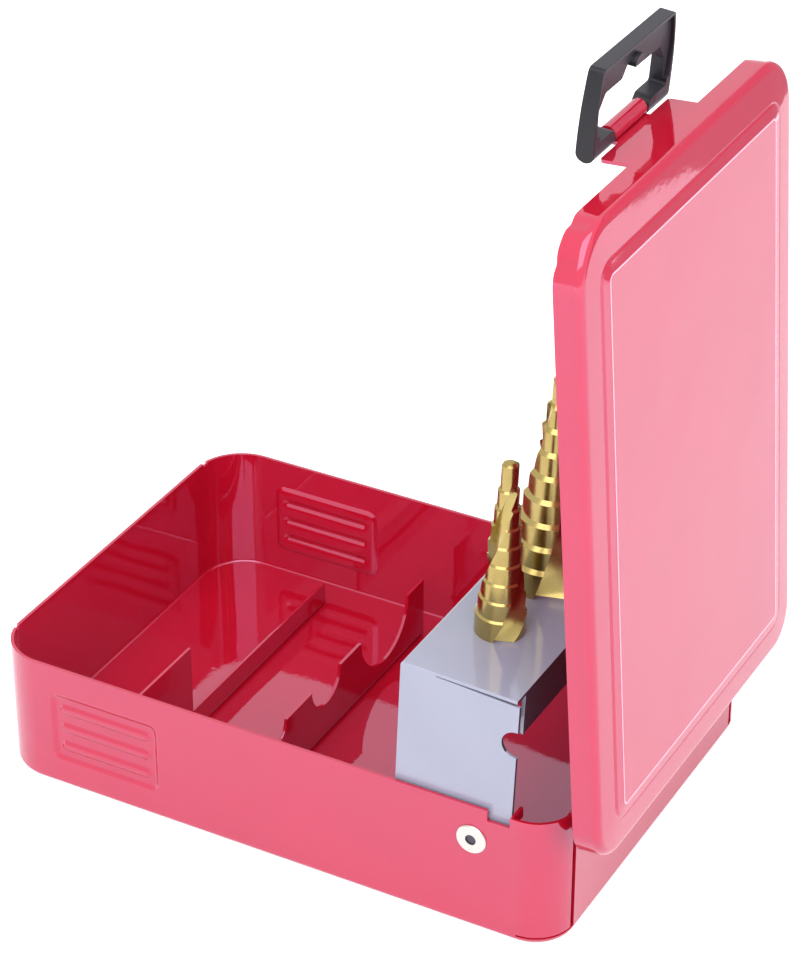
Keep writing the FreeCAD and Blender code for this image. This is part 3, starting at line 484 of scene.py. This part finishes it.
def bent_plate(name, x, foot, ends, top, notches):
    """An upright strip with its foot towards the front, and with its notches. A notch that ends
    within the strip has a round bottom."""
    bm = bmesh.new()
    start = [bm.verts.new((x - foot, ends[0], sheet)), bm.verts.new((x, ends[0], sheet)),
             bm.verts.new((x, ends[0], top))]
    lines = [bm.edges.new(start[:2]), bm.edges.new(start[1:])]
    bmesh.ops.translate(bm, verts=grow(bm, lines)[1], vec=(0.0, ends[1] - ends[0], 0.0))
    for y0, y1, low in notches:
        cut_out(bm, (x - 1, y0, low), (x + 1, y1, beyond))
    bmesh.ops.dissolve_limit(bm, angle_limit=0.01, verts=bm.verts, edges=bm.edges)
    for y0, y1, low in notches:
        if y1 < ends[1]:
            bottom = [v for v in bm.verts if abs(v.co.z - low) < 0.01
                      and min(abs(v.co.y - y0), abs(v.co.y - y1)) < 0.01]
            bmesh.ops.bevel(bm, geom=bottom, offset=(y1 - y0) / 2 - notch_gap,
                            offset_type="OFFSET", segments=12, profile=0.5, affect="VERTICES", material=-1)
    fold = [e for e in bm.edges
            if all(abs(v.co.x - x) < 0.01 and abs(v.co.z - sheet) < 0.01 for v in e.verts)]
    bmesh.ops.bevel(bm, geom=fold, offset=plate_fold, segments=5, profile=0.5, affect="EDGES",
                    material=-1)
    return sheet_piece(bm, name, "tray", 0.00015)


stop = bent_plate("stop_plate_bent", stop_x, stop_foot, stop_ends, stop_top,
                  [(stop_low_end, beyond, stop_low_top)])
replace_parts(stop, "stop_plate")
cradle = bent_plate("cradle_plate_bent", cradle_x, cradle_foot, cradle_ends, drill_axis_z,
                    [(y - r, y + r, drill_axis_z - r) for y, r in notch_places])
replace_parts(cradle, "cradle_plate")

# Lid: a shallow pan of the same sheet with a raised panel, shown standing open. Its tab goes on
# from the front flange and is rolled outwards to the eye that holds the handle. It is made shut
# and then swung open.
lid_front = -79.9
lid_edge = 35.4
lid_face = 42.4
lid_fold = 2.0
lid_angle = math.radians(86.26)
near_dent = 0.9
far_dent = 0.4
dent_bearings = (18, 62)
dent_spread = 7
margin_width = 5.65
margin_rise = 0.35
front_margin_more = 1.35
panel_corner = 5.2
panel_end_x = tray_length / 2 - lid_fold - margin_width
panel_side_y = tray_width / 2 - lid_fold - margin_width
panel_border = ((0.15, -0.03), (0.2, -0.12), (0.15, 0.03), (0.55, 0.36), (0.15, 0.04),
                (2.3, 0.17), (0.2, 0.13))
panel_crest = ((0.15, 0.04), (0.1, 0.0), (0.15, -0.04))
panel_foot = ((0.2, -0.07),)
flange_end = 44.3
flange_bottom = 31.6
tab_end = 17.5
tab_reach = 7.0
tab_corner = 1.0
eye_end = 8.0
eye_place = Vector((-81.2, 0.0, 25.7))
eye_turn = math.radians(300)

bm = bmesh.new()
bmesh.ops.create_cube(bm, size=1.0)
bmesh.ops.scale(bm, verts=bm.verts,
                vec=(tray_length / 2 - lid_front, tray_width, lid_face - lid_edge))
bmesh.ops.translate(bm, verts=bm.verts, vec=((tray_length / 2 + lid_front) / 2, 0.0,
                                             (lid_face + lid_edge) / 2))
bmesh.ops.delete(bm, geom=[f for f in bm.faces if f.normal.z < -0.9], context="FACES_ONLY")
for v in bm.verts:
    if v.co.z > lid_edge + 1:
        v.co.z = lid_face - margin_rise
upright(bm, lid_front, front_corner, 24)
upright(bm, tray_length / 2, hinge_corner, 14)
rim = [e for e in bm.edges if all(v.co.z > lid_edge + 1 for v in e.verts)]
bmesh.ops.bevel(bm, geom=rim, offset=lid_fold, segments=6, profile=0.5, affect="EDGES",
                material=-1)
# Two shallow dents in the flange's edge at each front corner, deeper at the near one.
for v in bm.verts:
    out = Vector((v.co.x - lid_front - front_corner, abs(v.co.y) - tray_width / 2 + front_corner))
    if out.x < 0 and out.y > 0 and abs(v.co.z - lid_edge) < 0.01:
        bearing = math.degrees(math.atan2(out.y, -out.x))
        dent = (near_dent if v.co.y < 0 else far_dent) * sum(
            math.exp(-((bearing - middle) / dent_spread) ** 2) for middle in dent_bearings)
        v.co.x += dent * math.cos(math.radians(bearing))
        v.co.y -= math.copysign(dent * math.sin(math.radians(bearing)), v.co.y)
# The margin rises gently from the fold to the panel, and is wider at the front. The panel's
# two corners at the hinge are rounded anew.
bm.normal_update()
panel = max(bm.faces, key=lambda f: f.calc_area())
bmesh.ops.inset_individual(bm, faces=[panel], thickness=margin_width, depth=margin_rise,
                           use_even_offset=True)
for v in panel.verts:
    reach = Vector((v.co.x - tray_length / 2 + hinge_corner,
                    abs(v.co.y) - tray_width / 2 + hinge_corner))
    if v.co.x < 0:
        v.co.x += front_margin_more
    elif min(reach) > -0.5:
        reach = Vector((max(reach.x, 0.0), max(reach.y, 0.0))).normalized() * panel_corner
        v.co.x = panel_end_x - panel_corner + reach.x
        v.co.y = math.copysign(panel_side_y - panel_corner + reach.y, v.co.y)
# The panel's border is a groove, a step and a long gentle slope. A fine crest runs round the raised face,
# and its faces take a second, paler enamel as a painted highlight.
for rings, finish in ((panel_border, 0), (panel_crest, 1), (panel_foot, 0)):
    for width, rise in rings:
        ring = bmesh.ops.inset_individual(bm, faces=[panel], thickness=width, depth=rise,
                                          use_even_offset=True)["faces"]
        for f in ring:
            f.material_index = finish
# The hinge flange reaches down between the tray's slits, and is rolled to two knuckles.
for y in (-flange_end, flange_end):
    scribe(bm, hinge_faces(bm), 1, y)
low_edges = [e for e in bm.edges if e.is_boundary and all(
    v.co.x > hinge_side_x and abs(v.co.z - lid_edge) < 0.01 and abs(v.co.y) < flange_end + 0.01
    for v in e.verts)]
for v in grow(bm, low_edges)[1]:
    v.co.z = flange_bottom
for place in (1, 3):
    roll_knuckle(bm, place, flange_bottom, (0, 1, 0))
# The tab with its rounded corners, and the strip that is rolled to the eye.
for y in (-tab_end, tab_end):
    scribe(bm, [f for f in bm.faces if all(v.co.x < -79 for v in f.verts)], 1, y)
tab_root = [e for e in bm.edges if e.is_boundary and all(
    v.co.x < lid_front + 0.1 and abs(v.co.y) < tab_end + 0.01 for v in e.verts)]
tips = grow(bm, tab_root)[1]
bmesh.ops.translate(bm, verts=tips, vec=(0.0, 0.0, -tab_reach))
corners = [v for v in tips if abs(abs(v.co.y) - tab_end) < 0.01]
bmesh.ops.bevel(bm, geom=corners, offset=tab_corner, segments=4, profile=0.5, affect="VERTICES",
                material=-1)
for y in (-eye_end, eye_end):
    scribe(bm, [f for f in bm.faces if all(v.co.x < -79 and v.co.z < lid_edge + 0.01
                                           for v in f.verts)], 1, y)
strip = [e for e in bm.edges if e.is_boundary and all(
    v.co.x < lid_front + 0.1 and abs(v.co.y) < eye_end + 0.01
    and abs(v.co.z - lid_edge + tab_reach) < 0.01 for v in e.verts)]
edge, tips = grow(bm, strip)
for v in tips:
    v.co.z = eye_place.z
bmesh.ops.spin(bm, geom=edge + tips, cent=eye_place, axis=(0, 1, 0), dvec=(0, 0, 0),
               angle=eye_turn, steps=16, use_duplicate=False)
bmesh.ops.rotate(bm, verts=bm.verts, cent=hinge_axis, matrix=Matrix.Rotation(lid_angle, 3, "Y"))
lid = sheet_piece(bm, "lid_shell", "lid", 0.0002)
# Painted highlight: a paler enamel on the crest's faces stands for the fine bright line that light draws
# along the crest.
lid.data.materials.append(enamel("painted_highlight_enamel_on_the_crest", "#F0B4C8"))
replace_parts(lid, "lid")

# Handle: one moulded piece of black polyamide, snapped into the eye with its two feet. It is
# the latch as well: its nub goes under the catch. Places on the copied parts are in metres.
foot_round = 0.0022
foot_places = [(0.0619, 0.0083, 0.18763), (0.0619, -0.0083, 0.18763)]


def finished_copy(node, name, body, finishes, edge_round, sharp_angle, has_second=None,
                  rounds=()):
    """A merged copy of a machined or moulded part, its sharp edges taken off a little. Some of
    its faces may have a second finish, and some of its corners a round of their own."""
    bm = bmesh.new()
    bm.from_mesh(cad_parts[node].data)
    bmesh.ops.remove_doubles(bm, verts=bm.verts, dist=0.000002)
    bmesh.ops.dissolve_limit(bm, angle_limit=math.radians(0.6), verts=bm.verts, edges=bm.edges)
    for point in rounds:
        corner = [e for e in bm.edges if ((e.verts[0].co + e.verts[1].co) / 2
                                          - Vector(point)).length < 0.0003]
        bmesh.ops.bevel(bm, geom=corner, offset=foot_round, segments=6, profile=0.5,
                        affect="EDGES", material=-1)
    for f in bm.faces:
        f.smooth = True
    for e in bm.edges:
        e.smooth = e.calc_face_angle(0.0) < math.radians(sharp_angle)
    made = placed(bm, name, finishes)
    if has_second:
        for f in made.data.polygons:
            f.material_index = int(has_second(f))
    if edge_round:
        rounded = made.modifiers.new("rounded", "BEVEL")
        rounded.width = edge_round
        rounded.segments = 2
        rounded.limit_method = "ANGLE"
        rounded.angle_limit = math.radians(sharp_angle)
    level_shading = made.modifiers.new("level_shading", "WEIGHTED_NORMAL")
    level_shading.keep_sharp = not edge_round
    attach(made, body)
    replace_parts(made, node)


# Moulded polyamide: near black with a slate cast, satin, and a little greyer where it faces up:
# a thin sheen stands for that.
slate_plastic, tree, output = material("moulded_black_polyamide")
at = add(tree, "ShaderNodeTexCoord", {})
# The mould's grain, finer in life, drawn at 0.35 mm so that it shows.
grain = add(tree, "ShaderNodeTexNoise", {"Scale": 2800.0, "Detail": 3.0},
            {"Vector": at.outputs["Object"]})
bump = add(tree, "ShaderNodeBump", {"Strength": 0.35, "Distance": 0.00008},
           {"Height": grain.outputs["Fac"]})
gloss = add(tree, "ShaderNodeMapRange", {"To Min": 0.3, "To Max": 0.5},
            {"Value": grain.outputs["Fac"]})
# A slow change of the black, some 6 mm across.
cloud = add(tree, "ShaderNodeTexNoise", {"Scale": 160.0, "Detail": 2.0},
            {"Vector": at.outputs["Object"]})
tint = add(tree, "ShaderNodeMix", {"data_type": "RGBA", 6: linear("#08070C"), 7: linear("#131118")},
           {0: cloud.outputs["Fac"]})
skin = add(tree, "ShaderNodeBsdfPrincipled",
           {"IOR": 1.44, "Sheen Weight": 0.15, "Sheen Tint": linear("#D8D0E8")},
           {"Base Color": tint.outputs[2], "Roughness": gloss.outputs[0],
            "Normal": bump.outputs[0]})
tree.links.new(skin.outputs[0], output.inputs["Surface"])
finished_copy("latch_handle", "latch_handle_moulding", "handle", [slate_plastic], 0.00025, 35,
              rounds=foot_places)

# Catch: a small hook folded from sheet steel, welded to the outside of the tray's front wall
# and enamelled like it.
finished_copy("latch_catch", "latch_catch_folded", "tray", [case_red], 0.00015, 40)

# Drill holder: 0.9 mm sheet folded to a channel, powder coated blue grey. It tips up on two
# tubular rivets and carries the three drills.
grey_coat, tree, output = material("satin_grey_powder_coat_on_steel")
at = add(tree, "ShaderNodeTexCoord", {})
# The powder's flow, cells of about 0.9 mm, and a slow unevenness of the grey, some 14 mm across.
flow = add(tree, "ShaderNodeTexNoise", {"Scale": 1100.0, "Detail": 2.0},
           {"Vector": at.outputs["Object"]})
bump = add(tree, "ShaderNodeBump", {"Strength": 0.2, "Distance": 0.00006},
           {"Height": flow.outputs["Fac"]})
cloud = add(tree, "ShaderNodeTexNoise", {"Scale": 70.0, "Detail": 3.0},
            {"Vector": at.outputs["Object"]})
tint = add(tree, "ShaderNodeMix", {"data_type": "RGBA", 6: linear("#8F92A6"), 7: linear("#9A9DB2")},
           {0: cloud.outputs["Fac"]})
dull = add(tree, "ShaderNodeMapRange", {"To Min": 0.06, "To Max": 0.13},
           {"Value": cloud.outputs["Fac"]})
skin = add(tree, "ShaderNodeBsdfPrincipled", {"IOR": 1.8},
           {"Base Color": tint.outputs[2], "Roughness": dull.outputs[0],
            "Normal": bump.outputs[0]})
tree.links.new(skin.outputs[0], output.inputs["Surface"])
# Painted shade: its inner sides and the one towards the hinge lie in shade, so a dark satin coat, mottled
# at 2.5 mm, is painted on them to stand for it.
painted_shade_coat, tree, output = material("painted_shade_dark_satin_coat")
mottle = add(tree, "ShaderNodeTexNoise", {"Scale": 400.0, "Detail": 3.0},
             {"Vector": add(tree, "ShaderNodeTexCoord", {}).outputs["Object"]})
tint = add(tree, "ShaderNodeMix", {"data_type": "RGBA", 6: linear("#2C2A36"), 7: linear("#3E3C4A")},
           {0: mottle.outputs["Fac"]})
skin = add(tree, "ShaderNodeBsdfPrincipled", {"IOR": 1.6, "Roughness": 0.35},
           {"Base Color": tint.outputs[2]})
tree.links.new(skin.outputs[0], output.inputs["Surface"])


def is_holder_painted_shade_face(f):
    """Whether a face looks to the hinge, down, or to the middle of the case: such faces take the painted
    shade.
    """
    return f.normal.x > 0.7 or f.normal.z < -0.7 or f.normal.y * f.center.y < -0.001


finished_copy("drill_holder", "drill_holder_plate", "holder", [grey_coat, painted_shade_coat], 0.00025, 35,
              is_holder_painted_shade_face)

# Rivets, washers and hinge pin: turned and rolled mild steel, nickel plated. The two tubular
# rivets hold the drill holder, with a washer between it and each side wall.
pivot_x = 55.7
pivot_z = 25.7
bore_radius = 1.42
painted_shade_disc_y = 55.2
nickel, tree, output = material("nickel_plated_turned_steel")
at = add(tree, "ShaderNodeTexCoord", {})
# Fine turning marks, far closer in life, drawn as a grain of about 1 mm so that they show.
turned = add(tree, "ShaderNodeTexNoise", {"Scale": 900.0, "Detail": 4.0},
             {"Vector": at.outputs["Object"]})
dull = add(tree, "ShaderNodeMapRange", {"To Min": 0.22, "To Max": 0.42},
           {"Value": turned.outputs["Fac"]})
bump = add(tree, "ShaderNodeBump", {"Strength": 0.15, "Distance": 0.00005},
           {"Height": turned.outputs["Fac"]})
tint = add(tree, "ShaderNodeMix", {"data_type": "RGBA", 6: linear("#D8D3CC"), 7: linear("#E6E2DC")},
           {0: turned.outputs["Fac"]})
skin = add(tree, "ShaderNodeBsdfPrincipled", {"Metallic": 1.0},
           {"Base Color": tint.outputs[2], "Roughness": dull.outputs[0],
            "Normal": bump.outputs[0]})
tree.links.new(skin.outputs[0], output.inputs["Surface"])


def is_shaded_bore_wall(f):
    """Whether a face is the wall of a rivet's bore, which takes the painted shade."""
    from_axis = math.hypot(f.center.x - 0.001 * pivot_x, f.center.z - 0.001 * pivot_z)
    return abs(f.normal.y) < 0.5 and from_axis < 0.00145


# The bore walls take the dark coat: painted shade for the shade inside each bore.
for node in ("rivet_right", "rivet_left"):
    finished_copy(node, node + "_turned", "tray", [nickel, painted_shade_coat], 0.0001, 35, is_shaded_bore_wall)
for side in (-1, 1):
    # Painted shade: the shell has no hole under the rivet, so a dark disc stands for the shade deep in the
    # bore.
    bm = bmesh.new()
    bmesh.ops.create_circle(bm, cap_ends=True, segments=32, radius=bore_radius)
    bmesh.ops.rotate(bm, verts=bm.verts, cent=(0, 0, 0),
                     matrix=Matrix.Rotation(-side * math.pi / 2, 3, "X"))
    bmesh.ops.translate(bm, verts=bm.verts, vec=(pivot_x, side * painted_shade_disc_y, pivot_z))
    bmesh.ops.scale(bm, verts=bm.verts, vec=(0.001, 0.001, 0.001))
    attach(placed(bm, "painted_shade_bore_disc", [painted_shade_coat]), "tray")
for node in ("washer_right", "washer_left", "hinge_pin"):
    finished_copy(node, node + "_turned", "tray", [nickel], 0.0001, 35)

# Step drills: high-speed steel, ground and then coated with titanium nitride, a pale gold.
# They stand loose in the holder's holes, the smallest one nearest.
gold, tree, output = material("titanium_nitride_on_ground_steel")
at = add(tree, "ShaderNodeTexCoord", {})
# Grinding marks, closer in life, drawn at 0.6 mm so that they show.
marks = add(tree, "ShaderNodeTexNoise", {"Scale": 1600.0, "Detail": 3.0},
            {"Vector": at.outputs["Object"]})
# A slow change of the gold, some 6 mm across.
cloud = add(tree, "ShaderNodeTexNoise", {"Scale": 180.0, "Detail": 2.0},
            {"Vector": at.outputs["Object"]})
tint = add(tree, "ShaderNodeMix", {"data_type": "RGBA", 6: linear("#AA9454"), 7: linear("#C0AC72")},
           {0: cloud.outputs["Fac"]})
dull = add(tree, "ShaderNodeMapRange", {"To Min": 0.16, "To Max": 0.28},
           {"Value": marks.outputs["Fac"]})
bump = add(tree, "ShaderNodeBump", {"Strength": 0.12, "Distance": 0.00005},
           {"Height": marks.outputs["Fac"]})
skin = add(tree, "ShaderNodeBsdfPrincipled", {"Metallic": 1.0},
           {"Base Color": tint.outputs[2], "Roughness": dull.outputs[0],
            "Normal": bump.outputs[0]})
tree.links.new(skin.outputs[0], output.inputs["Surface"])
for size in ("small", "medium", "large"):
    finished_copy("drill_" + size, "step_drill_" + size, size + "_drill", [gold], None, 30)
